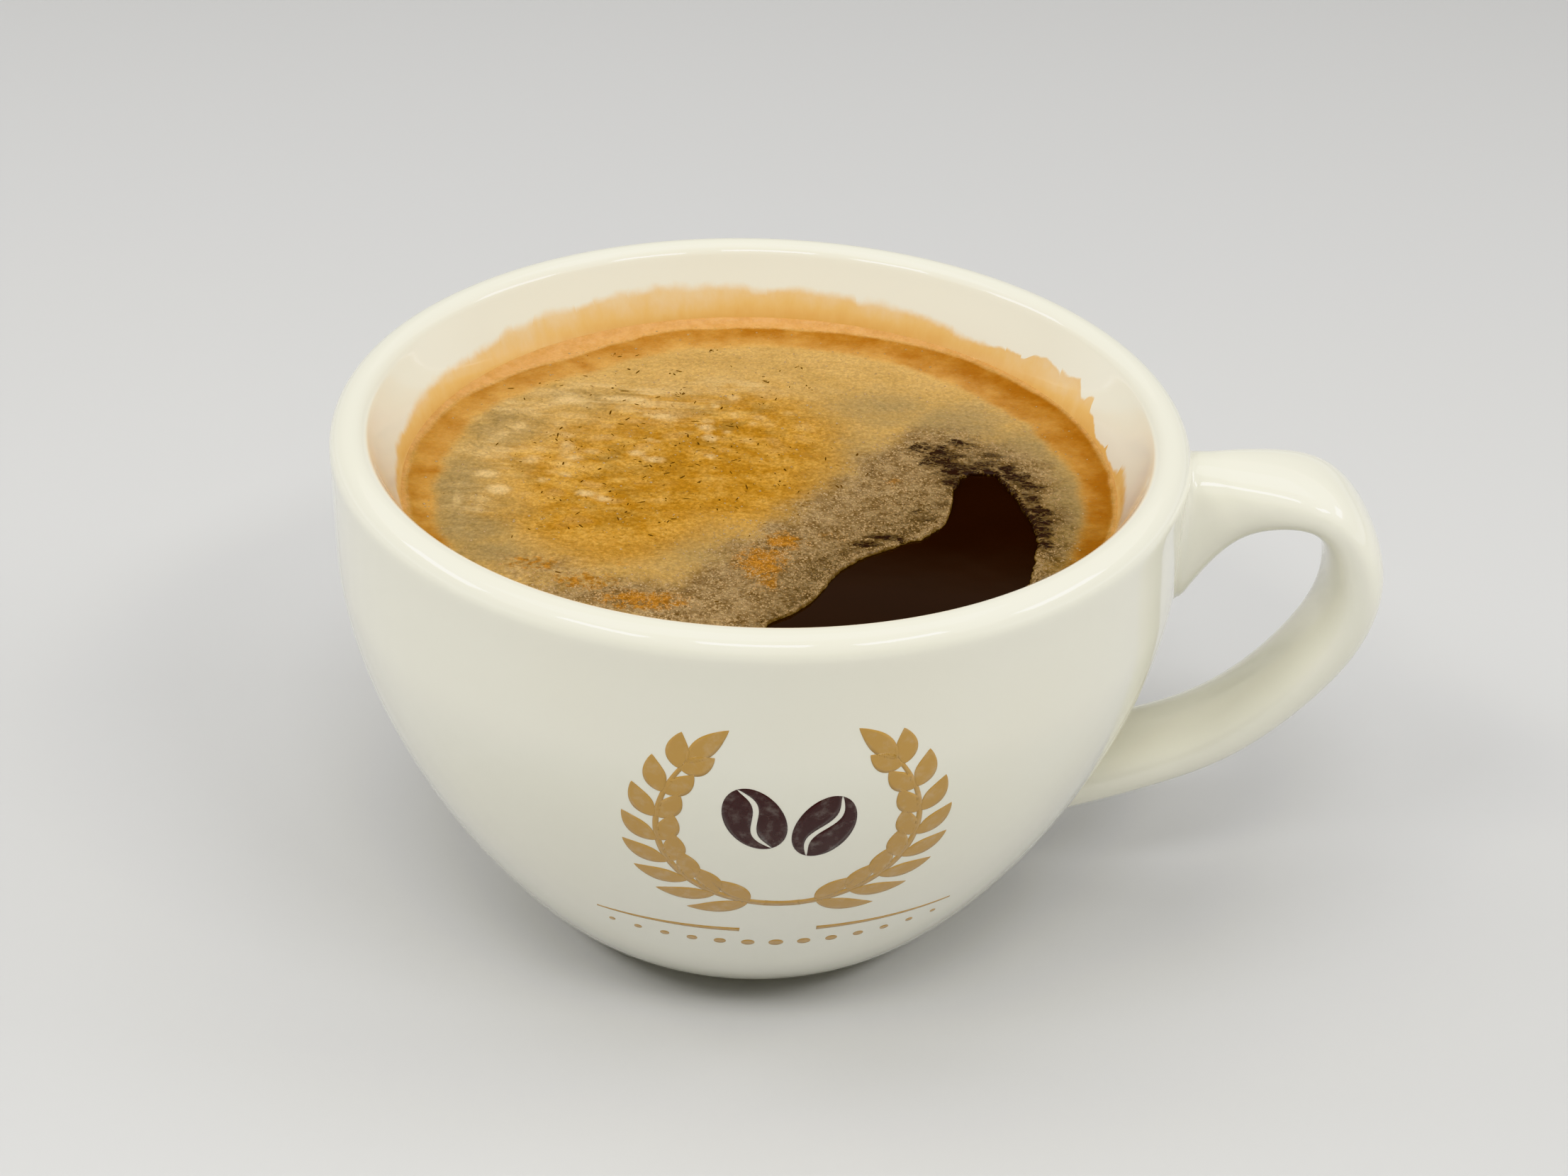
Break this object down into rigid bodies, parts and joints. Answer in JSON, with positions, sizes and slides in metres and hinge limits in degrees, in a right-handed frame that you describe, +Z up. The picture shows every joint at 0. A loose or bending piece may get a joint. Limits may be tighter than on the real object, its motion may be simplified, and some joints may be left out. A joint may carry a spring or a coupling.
{
  "type": "coffee in a cup",
  "caption": "Black coffee under a layer of crema in a thick-walled white porcelain cup with a strap handle.",
  "frame": {"origin": "on the surface the cup stands on, under the middle of the whole (cup and handle)", "axes": "+X from the cup towards its handle, +Z up along the cup's axis"},
  "size_m": [0.1198, 0.096, 0.0636],
  "materials": {
    "glaze": "warm white gloss glaze",
    "drink": "black-brown coffee, mirror smooth",
    "foam": "golden brown fine foam"
  },
  "bodies": {
    "root": {"cup": "glaze", "coffee": "drink", "crema": "foam"}
  },
  "joints": []
}
